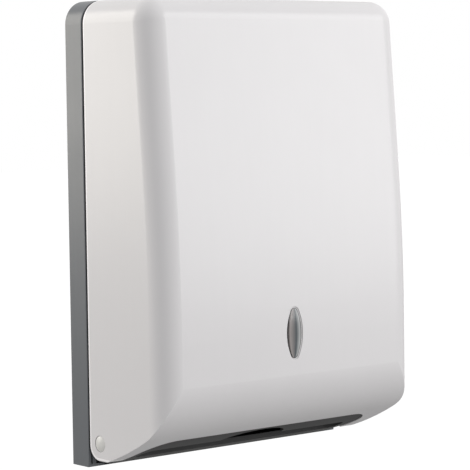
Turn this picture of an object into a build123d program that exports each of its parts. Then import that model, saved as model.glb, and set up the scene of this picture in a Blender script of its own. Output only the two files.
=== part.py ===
"""Wall-mounted dispenser for folded paper towels.

A grey back tray hangs on the wall.  A white cover turns forward and down on two pins near its lower
corners, a key lock in its top holds it to the tray, and towels are drawn through the slot of the throat
plate below.

Millimetres.  X runs across, -Y points away from the wall, +Z is up.  The origin is the middle of the
wall face.
"""
from build123d import *
import math
import os

# ---- overall ------------------------------------------------------------------------------------
WIDTH = 280.0
HEIGHT = 392.0
DEPTH = 128.0
TOP_CORNER_R = 20.0
TOP = HEIGHT / 2
BOTTOM = -HEIGHT / 2

# ---- back tray ----------------------------------------------------------------------------------
TRAY_DEPTH = 22.8
TRAY_BACK = 3.0
TRAY_RIM = 2.5
TRAY_EDGE_R = 0.8
FLANGE_T = 2.0
LIP_T = 1.8
LIP_REACH = 4.0
LIP_CLEARANCE = 0.6
WALL_HOLE_R = 2.75
WALL_HOLE_SPACING_X = 170.0
WALL_HOLE_SPACING_Z = 240.0
WALL_HOLE_RAISE = 10.0
WALL_HOLE_RING_R = 8.0
WALL_HOLE_RING_H = 1.5
RUNNER_T = 2.0
RUNNER_H = 1.5
RUNNER_XS = (-60.0, -20.0, 20.0, 60.0)
RUNNER_LOW = 46.0
RUNNER_TOP_GAP = 60.0

# ---- hinge --------------------------------------------------------------------------------------
PIN_LIFT = 1.9
PIN_FORWARD = 2.0
PIN_R = 3.0
PIN_RUNNING_CLEARANCE = 0.06
PIN_SEAT_CLEARANCE = 0.03
PIN_HEAD_R = 6.3
PIN_HEAD_WALL = 1.3
PIN_HEAD_DOME = 0.7
PIN_RECESS_R = 7.0
PIN_RECESS_DEPTH = 0.8
PIN_END = 1.6
PIN_END_CHAMFER = 0.5
LUG_T = 4.0
LUG_R = 7.5
LUG_WEB_RISE = 28.0
WASHER_T = 1.0
WASHER_R = 6.5
WASHER_CLEARANCE = 0.25
CLIP_T = 0.8
CLIP_R = 5.6
CLIP_OFFSET = 0.4
CLIP_GROOVE_DEPTH = 0.7
CLIP_MOUTH_HALF_WIDTH = 2.0
CLIP_CLEARANCE = 0.05

# ---- cover --------------------------------------------------------------------------------------
COVER_WALL = 2.5
COVER_GAP = 1.5
COVER_EDGE_R = 1.4
FRONT_EDGE_R = 19.0
BOW_START = 110.0
BOW_RISE = 145.0
BOW_R = 1780.0
CHIN_R = 50.0
CHIN_TURN = 61.0
SLOPE_R = 320.0
HEEL_RISE = 7.0
HEEL_R = 12.9
HEEL_FLAT = 10.0
STRIP_GAP = 1.3
MOUTH_FRONT_MARGIN = 34.0
MOUTH_SIDE_MARGIN = 16.0
MOUTH_CORNER_R = 25.0

# ---- throat plate -------------------------------------------------------------------------------
PLATE_T = 2.5
PLATE_RECESS = 0.8
PLATE_GAP = 0.8
PLATE_TRAY_GAP = 0.3
PLATE_UPSTAND_T = 2.0
PLATE_UPSTAND_TOP = 30.0
PLATE_FLANGE_H = 20.0
SLOT_END_MARGIN = 11.0
SLOT_FRONT_MARGIN = 25.0
SLOT_WIDTH = 22.0
SLOT_END_R = 8.0
SCOOP_HALF_WIDTH = 34.0
SCOOP_REACH = 18.5
SLOT_RIM_T = 1.6
SLOT_RIM_H = 1.8

# ---- towel guides -------------------------------------------------------------------------------
GUIDE_T = 2.0
GUIDE_LUG_GAP = 0.75
GUIDE_LOW = 42.0
GUIDE_HEIGHT = 195.0
GUIDE_FRONT_MARGIN = 30.0
GUIDE_LIP = 12.0
GUIDE_FLANGE = 9.0
GUIDE_CORNER_R = 6.0
GUIDE_SCREW_OUT = 4.5
GUIDE_SCREW_INSET = 20.0

# ---- sight window -------------------------------------------------------------------------------
WINDOW_RISE = 110.5
WINDOW_H = 43.0
WINDOW_W = 16.4
WINDOW_TIP_R = 4.3
WINDOW_STEP = 1.1
WINDOW_STEP_DEPTH = 0.6
LENS_CLEARANCE = 0.15
LENS_SINK = 0.7
LENS_FLANGE = 4.0
LENS_FLANGE_T = 1.5
LENS_POCKET_CLEARANCE = 0.3
LENS_POCKET_DEPTH = 0.3
FRAME_WIDTH = 6.5
FRAME_T = 2.0
FRAME_EAR_R = 4.2
FRAME_SCREW_OUT = 9.5

# ---- key lock -----------------------------------------------------------------------------------
LOCK_DEPTH = 46.0
LOCK_RECESS_R = 12.5
LOCK_RECESS_DEPTH = 1.6
LOCK_BOSS_R = 16.0
LOCK_FLANGE_R = 11.6
LOCK_FLANGE_T = 1.4
LOCK_FLANGE_EDGE_R = 0.45
LOCK_BODY_R = 9.4
LOCK_BODY_LENGTH = 16.4
LOCK_HOLE_CLEARANCE = 0.2
LOCK_NUT_AF = 23.0
LOCK_NUT_T = 4.0
LOCK_NUT_CHAMFER = 0.5
LOCK_WASHER_R = 13.0
LOCK_WASHER_T = 1.0
PLUG_R = 5.8
PLUG_CLEARANCE = 0.06
PLUG_HEAD_R = 7.0
PLUG_HEAD_T = 1.5
PLUG_TAIL = 6.0
KEY_SLOT_L = 8.0
KEY_SLOT_W = 1.8
KEY_SLOT_DEPTH = 7.0
CAM_T = 2.5
CAM_W = 9.0
CAM_REACH = 26.0
CAM_TIP_R = 2.2
CAM_GAP = 0.2
CAM_HUB_R = 7.0
CAM_SCREW_HEAD_R = 4.0
CAM_SCREW_HEAD_T = 2.0
CAM_SCREW_R = 1.6
CAM_SCREW_LENGTH = 9.0

# ---- lock catch on the tray ---------------------------------------------------------------------
CATCH_T = 1.5
CATCH_CLEARANCE = 0.5
CATCH_HALF_WIDTH = 24.0
CATCH_FLANGE_H = 18.0
CATCH_SHELF_GAP = 4.0
CATCH_LIP_NEAR = 12.0
CATCH_LIP_W = 16.0
CATCH_LIP_OVERLAP = 4.5
CATCH_SCREW_X = 15.0
CATCH_BOSS_H = 11.0

# ---- bosses and small screws --------------------------------------------------------------------
BOSS_R = 4.2
BOSS_H = 8.0
SCREW_R = 1.5
SCREW_LENGTH = 9.0
SCREW_HEAD_R = 2.9
SCREW_HEAD_T = 1.9
SCREW_HEAD_EDGE_R = 0.7
SCREW_TIP_CHAMFER = 0.7
SCREW_HOLE_CLEARANCE = 0.15
PILOT_CLEARANCE = 0.02
PILOT_DEPTH = 9.0
DRIVE_L = 3.4
DRIVE_W = 0.8
DRIVE_DEPTH = 1.1
THROAT_SCREW_END_MARGIN = 29.0
THROAT_SCREW_SPACING = 60.0
THROAT_SCREW_RISE = 15.0

# ---- places that follow from the sizes above ----------------------------------------------------
QUARTER_TURN = math.pi / 2
CHIN_END_ANGLE = QUARTER_TURN - math.radians(CHIN_TURN)
COVER_BACK_Y = -(TRAY_DEPTH + COVER_GAP)
HEEL_Z = BOTTOM + HEEL_RISE
HEEL_FRONT_Y = COVER_BACK_Y - HEEL_R - HEEL_FLAT
PIN_Y = COVER_BACK_Y - HEEL_R - PIN_FORWARD
PIN_Z = HEEL_Z + HEEL_R + PIN_LIFT
STRIP_Y = PIN_Y - LUG_R - STRIP_GAP
HALF_WIDTH = WIDTH / 2
COVER_INNER_X = HALF_WIDTH - COVER_WALL
LUG_OUTER_X = COVER_INNER_X - WASHER_CLEARANCE - WASHER_T
LUG_INNER_X = LUG_OUTER_X - LUG_T
MOUTH_Y = -(DEPTH - MOUTH_FRONT_MARGIN)
MOUTH_HALF_WIDTH = HALF_WIDTH - MOUTH_SIDE_MARGIN
SLOT_HALF_WIDTH = MOUTH_HALF_WIDTH - SLOT_END_MARGIN
SLOT_FRONT_Y = MOUTH_Y + SLOT_FRONT_MARGIN
THROAT_SCREW_X = MOUTH_HALF_WIDTH - THROAT_SCREW_END_MARGIN
GUIDE_OUTER_X = LUG_INNER_X - GUIDE_LUG_GAP - GUIDE_FLANGE
GUIDE_INNER_X = GUIDE_OUTER_X - GUIDE_T
GUIDE_FRONT_Y = -(DEPTH - GUIDE_FRONT_MARGIN)
BOSS_FACE_Y = -(TRAY_BACK + BOSS_H)
CATCH_FACE_Y = -(TRAY_BACK + CATCH_BOSS_H)
LOCK_FLOOR_Z = TOP - LOCK_RECESS_DEPTH
LOCK_BOSS_Z = LOCK_FLOOR_Z - COVER_WALL
LOCK_BODY_Z = LOCK_FLOOR_Z - LOCK_BODY_LENGTH
CAM_TOP_Z = LOCK_BODY_Z - CAM_GAP
CAM_LOW_Z = CAM_TOP_Z - CAM_T
CATCH_SHELF_Z = CAM_LOW_Z - CAM_SCREW_HEAD_T - CATCH_SHELF_GAP
CATCH_LIP_Y = -(LOCK_DEPTH + CAM_W / 2 + CATCH_CLEARANCE)
WINDOW_Z = BOTTOM + WINDOW_RISE
LENS_SEAT_Y = -(DEPTH - COVER_WALL + LENS_POCKET_DEPTH)
LENS_BACK_Y = LENS_SEAT_Y + LENS_FLANGE_T
FRAME_SCREW_ZS = [WINDOW_Z + side * (WINDOW_H / 2 + FRAME_SCREW_OUT) for side in (-1, 1)]

# Cutting shapes run past the surface they cut by PAST; edges are picked by place to within NEAR.
PAST = 20.0
NEAR = 0.1


# ---- plain helpers ------------------------------------------------------------------------------
def block(x_span, y_span, z_span):
    """Box between two corners, given as a pair of values for each axis."""
    size = [abs(high - low) for low, high in (x_span, y_span, z_span)]
    middle = [(high + low) / 2 for low, high in (x_span, y_span, z_span)]
    return Pos(*middle) * Box(*size)


def rod(axis, radius, start, end, first, second):
    """Cylinder along an axis from start to end, centred at the other two coordinates in X, Y, Z order."""
    middle = (start + end) / 2
    turn = {"x": Rot(0, 90, 0), "y": Rot(90, 0, 0), "z": Rot(0, 0, 0)}[axis]
    place = {"x": (middle, first, second), "y": (first, middle, second), "z": (first, second, middle)}[axis]
    return Pos(*place) * turn * Cylinder(radius, abs(end - start))


def span(first_from, first_to, second_from, second_to):
    """Rectangle between two values of each of a sketch's two coordinates."""
    middle = Pos((first_from + first_to) / 2, (second_from + second_to) / 2)
    return middle * Rectangle(abs(first_to - first_from), abs(second_to - second_from))


def on_side(outline, x_from, x_to):
    """Solid of a Y-Z outline, from one X to another."""
    return Pos(x_from, 0, 0) * extrude(Plane.YZ * outline, x_to - x_from, dir=(1, 0, 0))


def on_front(outline, y_from, y_to):
    """Solid of an X-Z outline, from one Y to a smaller one."""
    return Pos(0, y_from, 0) * extrude(Plane.XZ * outline, y_from - y_to, dir=(0, -1, 0))


def mirrored(shape):
    """The same piece on the other side of the dispenser."""
    return mirror(shape, Plane.YZ)


def front_outline(inset, low):
    """Outline seen from the front, square below and rounded at the two top corners."""
    high = TOP - inset
    middle = Pos(0, (high + low) / 2)
    outline = middle * Rectangle(WIDTH - 2 * inset, high - low)
    top_corners = outline.vertices().sort_by(Axis.Y)[-2:]
    return fillet(top_corners, TOP_CORNER_R - inset)


def tapping_screw(length, radius=SCREW_R, head_r=SCREW_HEAD_R, head_t=SCREW_HEAD_T):
    """Pan-head screw with a cross drive, its head's seat on the origin and its shank along -Z."""
    head = Pos(0, 0, head_t / 2) * Cylinder(head_r, head_t)
    head = fillet(head.edges().group_by(Axis.Z)[-1], SCREW_HEAD_EDGE_R)
    cross = Box(DRIVE_L, DRIVE_W, DRIVE_DEPTH) + Box(DRIVE_W, DRIVE_L, DRIVE_DEPTH)
    shank = Pos(0, 0, -length / 2) * Cylinder(radius, length)
    shank = chamfer(shank.edges().group_by(Axis.Z)[0], SCREW_TIP_CHAMFER)
    return head + shank - Pos(0, 0, head_t - DRIVE_DEPTH / 2) * cross


def group(solids):
    """Separate solids kept in one node."""
    return Compound(children=[piece.solid() for piece in solids])


# ---- side profile of the cover ------------------------------------------------------------------
def around(centre, radius, angle):
    """Point at a radius from a centre, its angle in radians from straight down towards the front."""
    return (centre[0] - radius * math.sin(angle), centre[1] - radius * math.cos(angle))


def chin_geometry():
    """Chin arc's centre and slope arc's centre, as Y and Z.

    The slope leaves the chin without a corner and comes down on the front of the flat heel.
    """
    end_y = around((-DEPTH + CHIN_R, 0), CHIN_R, CHIN_END_ANGLE)[0]
    slope_centre_y = around((end_y, 0), -SLOPE_R, CHIN_END_ANGLE)[0]
    drop = math.sqrt(SLOPE_R ** 2 - (HEEL_FRONT_Y - slope_centre_y) ** 2)
    slope_centre = (slope_centre_y, HEEL_Z + drop)
    end = around(slope_centre, SLOPE_R, CHIN_END_ANGLE)
    return around(end, -CHIN_R, CHIN_END_ANGLE), slope_centre


def slope_y(z, radius):
    """Depth at which an arc about the slope's centre reaches a height."""
    centre = chin_geometry()[1]
    return centre[0] - math.sqrt(radius ** 2 - (centre[1] - z) ** 2)


def slope_z(y, radius):
    """Height at which an arc about the slope's centre reaches a depth."""
    centre = chin_geometry()[1]
    return centre[1] - math.sqrt(radius ** 2 - (y - centre[0]) ** 2)


def bottom_profile(inset, back_y):
    """Side view of the cover's lower end: chin, slope, flat heel and the rounded corner below the pin."""
    chin_centre = chin_geometry()[0]
    chin_r = CHIN_R - inset
    slope_r = SLOPE_R - inset
    heel_r = HEEL_R - inset
    heel_z = HEEL_Z + inset
    chin_angles = (QUARTER_TURN, (QUARTER_TURN + CHIN_END_ANGLE) / 2, CHIN_END_ANGLE)
    chin_points = [around(chin_centre, chin_r, angle) for angle in chin_angles]
    heel_front = (slope_y(heel_z, slope_r), heel_z)
    slope_middle_y = (chin_points[2][0] + heel_front[0]) / 2
    slope_middle = (slope_middle_y, slope_z(slope_middle_y, slope_r))
    corner_centre = (back_y - heel_r, heel_z + heel_r)
    corner = [around(corner_centre, heel_r, angle) for angle in (0, -QUARTER_TURN / 2, -QUARTER_TURN)]
    front_y = -DEPTH - PAST
    edges = [
        ThreePointArc(*chin_points),
        ThreePointArc(chin_points[2], slope_middle, heel_front),
        Line(heel_front, corner[0]),
        ThreePointArc(*corner),
        Line(corner[2], (back_y, TOP + PAST)),
        Line((back_y, TOP + PAST), (front_y, TOP + PAST)),
        Line((front_y, TOP + PAST), (front_y, chin_centre[1])),
        Line((front_y, chin_centre[1]), chin_points[0]),
    ]
    return make_face(Wire(edges))


def front_body(inset, back_y):
    """The cover's upper form, carried straight down past its lower end, with its rounded front edges."""
    low = BOTTOM - PAST
    outline = on_front(front_outline(inset, low), back_y, -DEPTH - PAST)
    radius = BOW_R - inset
    bow_z = BOTTOM + BOW_START
    high = TOP + PAST
    front_y = -DEPTH + inset
    lean = math.asin(BOW_RISE / BOW_R)
    bow = [(front_y + radius * (1 - math.cos(a)), bow_z + radius * math.sin(a)) for a in (lean / 2, lean)]
    top_y = bow[1][0] + (high - bow[1][1]) * math.tan(lean)
    edges = [
        Line((front_y, low - PAST), (front_y, bow_z)),
        ThreePointArc((front_y, bow_z), *bow),
        Line(bow[1], (top_y, high)),
        Line((top_y, high), (back_y + PAST, high)),
        Line((back_y + PAST, high), (back_y + PAST, low - PAST)),
        Line((back_y + PAST, low - PAST), (front_y, low - PAST)),
    ]
    side = on_side(make_face(Wire(edges)), -WIDTH, WIDTH)
    body = outline & side
    on_the_front = [
        edge for edge in body.edges()
        if edge.bounding_box().max.Y < back_y - TRAY_DEPTH and edge.center().Z > low + NEAR
    ]
    return fillet(on_the_front, FRONT_EDGE_R - inset)


def cover_form(inset, back_y):
    """Closed form of the cover: the upper form cut to the lower profile."""
    return front_body(inset, back_y) & on_side(bottom_profile(inset, back_y), -WIDTH, WIDTH)


def mouth_outline(gap):
    """Plan view of the opening in the cover's underside, less a gap all round."""
    half = MOUTH_HALF_WIDTH - gap
    front = MOUTH_Y + gap
    outline = Pos(0, (front + PAST) / 2) * Rectangle(2 * half, PAST - front)
    front_corners = outline.vertices().sort_by(Axis.Y)[:2]
    return fillet(front_corners, MOUTH_CORNER_R - gap)


# ---- sight window shapes ------------------------------------------------------------------------
def window_outline(grow):
    """Sight window in front view, grown by a margin: two long side arcs and two rounded tips."""
    half_h = WINDOW_H / 2 + grow
    half_w = WINDOW_W / 2 + grow
    tip_z = WINDOW_H / 2 - WINDOW_TIP_R
    tip_r = WINDOW_TIP_R + grow
    side_r = (half_w ** 2 + tip_z ** 2 - tip_r ** 2) / (2 * (half_w - tip_r))
    side_x = side_r - half_w
    angle = math.atan2(tip_z, side_x)
    x, z = side_r * math.cos(angle) - side_x, side_r * math.sin(angle)
    arcs = [
        ThreePointArc((x, -z), (half_w, 0), (x, z)),
        ThreePointArc((x, z), (0, half_h), (-x, z)),
        ThreePointArc((-x, z), (-half_w, 0), (-x, -z)),
        ThreePointArc((-x, -z), (0, -half_h), (x, -z)),
    ]
    return Pos(0, WINDOW_Z) * make_face(Wire(arcs))


# ---- the wall unit ------------------------------------------------------------------------------
def guide_screw_places():
    """X and Z of the right guide's screws."""
    x = GUIDE_OUTER_X + GUIDE_SCREW_OUT
    low = BOTTOM + GUIDE_LOW + GUIDE_SCREW_INSET
    high = BOTTOM + GUIDE_LOW + GUIDE_HEIGHT - GUIDE_SCREW_INSET
    return [(x, low), (x, high)]


def throat_screw_places():
    """X and Z of the throat plate's screws."""
    inner = THROAT_SCREW_X - THROAT_SCREW_SPACING
    z = BOTTOM + THROAT_SCREW_RISE
    return [(x, z) for x in (-THROAT_SCREW_X, -inner, inner, THROAT_SCREW_X)]


def wall_hole_places():
    """X and Z of the four holes for the wall screws."""
    half_x = WALL_HOLE_SPACING_X / 2
    half_z = WALL_HOLE_SPACING_Z / 2
    return [(x, WALL_HOLE_RAISE + z) for x in (-half_x, half_x) for z in (-half_z, half_z)]


def hinge_lug():
    """Right lug of the tray, which carries the hinge pin."""
    across = (LUG_INNER_X, LUG_OUTER_X)
    web = block(across, (-TRAY_DEPTH, -TRAY_BACK), (BOTTOM + TRAY_RIM, PIN_Z + LUG_WEB_RISE))
    neck = block(across, (PIN_Y, -TRAY_DEPTH), (PIN_Z - LUG_R, PIN_Z + LUG_R))
    eye = rod("x", LUG_R, LUG_INNER_X, LUG_OUTER_X, PIN_Y, PIN_Z)
    gusset = Polygon(
        (PIN_Y, PIN_Z + LUG_R),
        (-TRAY_DEPTH, PIN_Z + LUG_WEB_RISE),
        (-TRAY_DEPTH, PIN_Z + LUG_R),
        align=None,
    )
    return web + neck + eye + on_side(gusset, LUG_INNER_X, LUG_OUTER_X)


def back_tray():
    """Moulded tray with its side bands, nesting lip, hinge lugs, screw bosses and towel runners."""
    tray = on_front(front_outline(0, BOTTOM), 0, -TRAY_DEPTH)
    front_edges = [edge for edge in tray.edges() if edge.bounding_box().max.Y < -TRAY_DEPTH + NEAR]
    tray = fillet(front_edges, TRAY_EDGE_R)
    tray -= on_front(front_outline(TRAY_RIM, BOTTOM + TRAY_RIM), -TRAY_BACK, -TRAY_DEPTH - PAST)

    lip_outer = COVER_WALL + LIP_CLEARANCE
    lip_inner = lip_outer + LIP_T
    lip_low = PIN_Z + LUG_WEB_RISE
    flange = front_outline(TRAY_RIM / 2, lip_low) - front_outline(lip_inner, lip_low - PAST)
    lip = front_outline(lip_outer, lip_low) - front_outline(lip_inner, lip_low - PAST)
    tray += on_front(flange, -TRAY_DEPTH + FLANGE_T, -TRAY_DEPTH + TRAY_EDGE_R)
    tray += on_front(lip, -TRAY_DEPTH + FLANGE_T, -TRAY_DEPTH - LIP_REACH)

    lug = hinge_lug()
    tray += lug + mirrored(lug)
    tray -= rod("x", PIN_R + PIN_RUNNING_CLEARANCE, -COVER_INNER_X, COVER_INNER_X, PIN_Y, PIN_Z)

    runner_y = (-TRAY_BACK - RUNNER_H, -TRAY_BACK)
    runner_z = (BOTTOM + RUNNER_LOW, TOP - RUNNER_TOP_GAP)
    for middle in RUNNER_XS:
        tray += block((middle - RUNNER_T / 2, middle + RUNNER_T / 2), runner_y, runner_z)

    for x, z in wall_hole_places():
        tray += rod("y", WALL_HOLE_RING_R, -TRAY_BACK, -TRAY_BACK - WALL_HOLE_RING_H, x, z)
        tray -= rod("y", WALL_HOLE_R, PAST, -TRAY_BACK - PAST, x, z)

    short_bosses = [(side * x, z) for x, z in guide_screw_places() for side in (-1, 1)]
    short_bosses += throat_screw_places()
    for x, z in short_bosses:
        tray += rod("y", BOSS_R, -TRAY_BACK, BOSS_FACE_Y, x, z)
        tray -= rod("y", SCREW_R + PILOT_CLEARANCE, BOSS_FACE_Y, BOSS_FACE_Y + PILOT_DEPTH, x, z)
    for x, z in catch_screw_places():
        tray += rod("y", BOSS_R, -TRAY_BACK, CATCH_FACE_Y, x, z)
        tray -= rod("y", SCREW_R + PILOT_CLEARANCE, CATCH_FACE_Y, CATCH_FACE_Y + PILOT_DEPTH, x, z)
    return tray


def throat_region(inset):
    """Side view of everything above the throat plate's lower face, raised by an inset."""
    radius = SLOPE_R - PLATE_RECESS
    knee_y = STRIP_Y
    foot = (-TRAY_DEPTH - PLATE_TRAY_GAP, BOTTOM + PLATE_TRAY_GAP)
    fall = (slope_z(knee_y, radius) - foot[1]) / (foot[0] - knee_y)
    arc = [(y, slope_z(y, radius - inset)) for y in (-DEPTH, (-DEPTH + knee_y) / 2, knee_y)]
    back = (0, arc[2][1] + knee_y * fall)
    edges = [
        ThreePointArc(*arc),
        Line(arc[2], back),
        Line(back, (0, TOP)),
        Line((0, TOP), (-DEPTH, TOP)),
        Line((-DEPTH, TOP), arc[0]),
    ]
    return make_face(Wire(edges))


def slot_outline(grow):
    """Plan view of the dispensing slot with its finger scoop, grown by a margin."""
    middle_y = SLOT_FRONT_Y + SLOT_WIDTH / 2
    slot = Pos(0, middle_y) * Rectangle(2 * (SLOT_HALF_WIDTH + grow), SLOT_WIDTH + 2 * grow)
    slot = fillet(slot.vertices(), SLOT_END_R + grow)
    scoop = Pos(0, SLOT_FRONT_Y) * Ellipse(SCOOP_HALF_WIDTH + grow, SCOOP_REACH + grow)
    return slot + scoop


def throat_plate():
    """Sloping bottom plate with the slot, its raised rim, side walls and a flange on the tray's bosses."""
    foot_y = -TRAY_DEPTH - PLATE_TRAY_GAP
    flange_y = BOSS_FACE_Y - PLATE_T
    ledge_z = BOTTOM + TRAY_RIM
    above = throat_region(0)
    section = (above - throat_region(PLATE_T)) & span(-DEPTH, foot_y, BOTTOM - PAST, TOP)
    section += span(flange_y, foot_y, ledge_z, ledge_z + PLATE_T)
    section += span(foot_y - PLATE_T, foot_y, BOTTOM, ledge_z + PLATE_T) & above
    section += span(flange_y, BOSS_FACE_Y, ledge_z, ledge_z + PLATE_FLANGE_H)
    plan = Pos(0, 0, BOTTOM - PAST) * extrude(mouth_outline(PLATE_GAP), HEIGHT)
    plate = on_side(section, -WIDTH, WIDTH) & plan

    rim_section = (above - throat_region(PLATE_T + SLOT_RIM_H)) & span(-DEPTH, foot_y, BOTTOM - PAST, TOP)
    rim_plan = Pos(0, 0, BOTTOM - PAST) * extrude(slot_outline(SLOT_RIM_T), HEIGHT)
    plate += on_side(rim_section, -WIDTH, WIDTH) & rim_plan

    wall_section = above & span(-DEPTH, (flange_y + BOSS_FACE_Y) / 2, ledge_z, BOTTOM + PLATE_UPSTAND_TOP)
    wall_plan = Pos(0, 0, BOTTOM - PAST) * extrude(mouth_outline(PLATE_GAP + PLATE_UPSTAND_T), HEIGHT)
    plate += on_side(wall_section, -WIDTH, WIDTH) & (plan - wall_plan)

    plate -= Pos(0, 0, BOTTOM - PAST) * extrude(slot_outline(0), HEIGHT)
    for x, z in throat_screw_places():
        plate -= rod("y", SCREW_R + SCREW_HOLE_CLEARANCE, 0, flange_y - PLATE_T, x, z)
    return plate


def towel_guide():
    """Right side guide: a wall beside the towels with a front lip and a screwed flange."""
    low = BOTTOM + GUIDE_LOW
    high = low + GUIDE_HEIGHT
    wall = block((GUIDE_INNER_X, GUIDE_OUTER_X), (GUIDE_FRONT_Y, BOSS_FACE_Y), (low, high))
    lip_x = (GUIDE_INNER_X - GUIDE_LIP, GUIDE_OUTER_X)
    lip = block(lip_x, (GUIDE_FRONT_Y, GUIDE_FRONT_Y + GUIDE_T), (low, high))
    lip_corners = lip.edges().filter_by(Axis.Y).group_by(Axis.X)[0]
    lip = fillet(lip_corners, GUIDE_CORNER_R)
    flange_x = (GUIDE_INNER_X, GUIDE_OUTER_X + GUIDE_FLANGE)
    flange = block(flange_x, (BOSS_FACE_Y - GUIDE_T, BOSS_FACE_Y), (low, high))
    guide = wall + lip + flange
    for x, z in guide_screw_places():
        guide -= rod("y", SCREW_R + SCREW_HOLE_CLEARANCE, 0, BOSS_FACE_Y - PAST, x, z)
    return guide


def catch_screw_places():
    """X and Z of the catch's two screws."""
    z = CATCH_SHELF_Z - CATCH_FLANGE_H / 2
    return [(-CATCH_SCREW_X, z), (CATCH_SCREW_X, z)]


def lock_catch():
    """Bent steel bracket: flange on the tray, shelf towards the cover, and the lip for the cam."""
    low = CATCH_SHELF_Z - CATCH_FLANGE_H
    lip_top = CAM_LOW_Z + CATCH_LIP_OVERLAP
    lip_far = CATCH_LIP_NEAR + CATCH_LIP_W
    shelf_low = CATCH_SHELF_Z - CATCH_T
    front_y = CATCH_LIP_Y - CATCH_T
    flange_y = (CATCH_FACE_Y - CATCH_T, CATCH_FACE_Y)
    flange = block((-CATCH_HALF_WIDTH, CATCH_HALF_WIDTH), flange_y, (low, CATCH_SHELF_Z))
    shelf = block((-CATCH_HALF_WIDTH, lip_far), (front_y, CATCH_FACE_Y), (shelf_low, CATCH_SHELF_Z))
    lip = block((CATCH_LIP_NEAR, lip_far), (front_y, CATCH_LIP_Y), (shelf_low, lip_top))
    lip_corners = lip.edges().filter_by(Axis.Y).group_by(Axis.Z)[-1]
    lip = fillet(lip_corners, CATCH_T)
    catch = flange + shelf + lip
    for x, z in catch_screw_places():
        catch -= rod("y", SCREW_R + SCREW_HOLE_CLEARANCE, 0, CATCH_FACE_Y - PAST, x, z)
    return catch


def hinge_washer():
    """Right slip washer between the tray's lug and the cover."""
    ring = rod("x", WASHER_R, LUG_OUTER_X, LUG_OUTER_X + WASHER_T, PIN_Y, PIN_Z)
    return ring - rod("x", PIN_R + PIN_RUNNING_CLEARANCE, LUG_INNER_X, HALF_WIDTH, PIN_Y, PIN_Z)


def screws_from_front(places, seat_y):
    """Screws driven towards the wall, their heads seated on the plane at seat_y."""
    return group([Pos(x, seat_y, z) * Rot(90, 0, 0) * tapping_screw(SCREW_LENGTH) for x, z in places])


# ---- the cover ----------------------------------------------------------------------------------
def front_cover():
    """Thin shell with its underside opening, hinge holes, window opening and lock boss."""
    outer = cover_form(0, COVER_BACK_Y)
    boxes = [(edge, edge.bounding_box()) for edge in outer.edges()]
    behind = COVER_BACK_Y - NEAR
    back_edges = [edge for edge, box in boxes if box.min.Y > behind and box.size.X < WIDTH - NEAR]
    outer = fillet(back_edges, COVER_EDGE_R)
    inner = cover_form(COVER_WALL, COVER_BACK_Y + PAST)
    lock_boss = rod("z", LOCK_BOSS_R, LOCK_BOSS_Z, TOP - COVER_WALL / 2, 0, -LOCK_DEPTH)
    frame_bosses = [
        rod("y", FRAME_EAR_R, -DEPTH + COVER_WALL / 2, LENS_BACK_Y, 0, z) for z in FRAME_SCREW_ZS
    ]
    cover = outer - inner + lock_boss + frame_bosses

    mouth = mouth_outline(0) + span(-COVER_INNER_X, COVER_INNER_X, STRIP_Y, PAST)
    cover -= Pos(0, 0, BOTTOM - PAST) * extrude(mouth, PIN_Z + HEEL_R - BOTTOM + PAST)

    cover -= rod("x", PIN_R + PIN_SEAT_CLEARANCE, -HALF_WIDTH - PAST, HALF_WIDTH + PAST, PIN_Y, PIN_Z)
    for side in (-1, 1):
        dish_x = side * (HALF_WIDTH - PIN_RECESS_DEPTH)
        cover -= rod("x", PIN_RECESS_R, dish_x, side * (HALF_WIDTH + PAST), PIN_Y, PIN_Z)

    cover -= on_front(window_outline(0), 0, -DEPTH - PAST)
    cover -= on_front(window_outline(WINDOW_STEP), -DEPTH + WINDOW_STEP_DEPTH, -DEPTH - PAST)
    cover -= on_front(window_outline(LENS_FLANGE + LENS_POCKET_CLEARANCE), LENS_BACK_Y, LENS_SEAT_Y)
    for z in FRAME_SCREW_ZS:
        cover -= rod("y", SCREW_R + PILOT_CLEARANCE, LENS_BACK_Y, LENS_BACK_Y - COVER_WALL, 0, z)

    cover -= rod("z", LOCK_RECESS_R, LOCK_FLOOR_Z, TOP + PAST, 0, -LOCK_DEPTH)
    cover -= rod("z", LOCK_BODY_R + LOCK_HOLE_CLEARANCE, LOCK_BOSS_Z - PAST, TOP, 0, -LOCK_DEPTH)
    return cover


def window_lens():
    """Clear lens: a flange behind the cover and a plug that fills the window."""
    flange = on_front(window_outline(LENS_FLANGE), LENS_BACK_Y, LENS_SEAT_Y)
    plug = on_front(window_outline(-LENS_CLEARANCE), LENS_SEAT_Y, -DEPTH + LENS_SINK)
    return flange + plug


def window_frame():
    """Ring that clamps the lens to the cover, with a screw ear at each end."""
    ring = on_front(window_outline(FRAME_WIDTH), LENS_BACK_Y + FRAME_T, LENS_BACK_Y)
    for z in FRAME_SCREW_ZS:
        ring += rod("y", FRAME_EAR_R, LENS_BACK_Y + FRAME_T, LENS_BACK_Y, 0, z)
        ring += block((-FRAME_EAR_R, FRAME_EAR_R), (LENS_BACK_Y, LENS_BACK_Y + FRAME_T), (z, WINDOW_Z))
    ring -= on_front(window_outline(WINDOW_STEP), 0, -DEPTH)
    for z in FRAME_SCREW_ZS:
        ring -= rod("y", SCREW_R + SCREW_HOLE_CLEARANCE, 0, -DEPTH, 0, z)
    return ring


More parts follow.
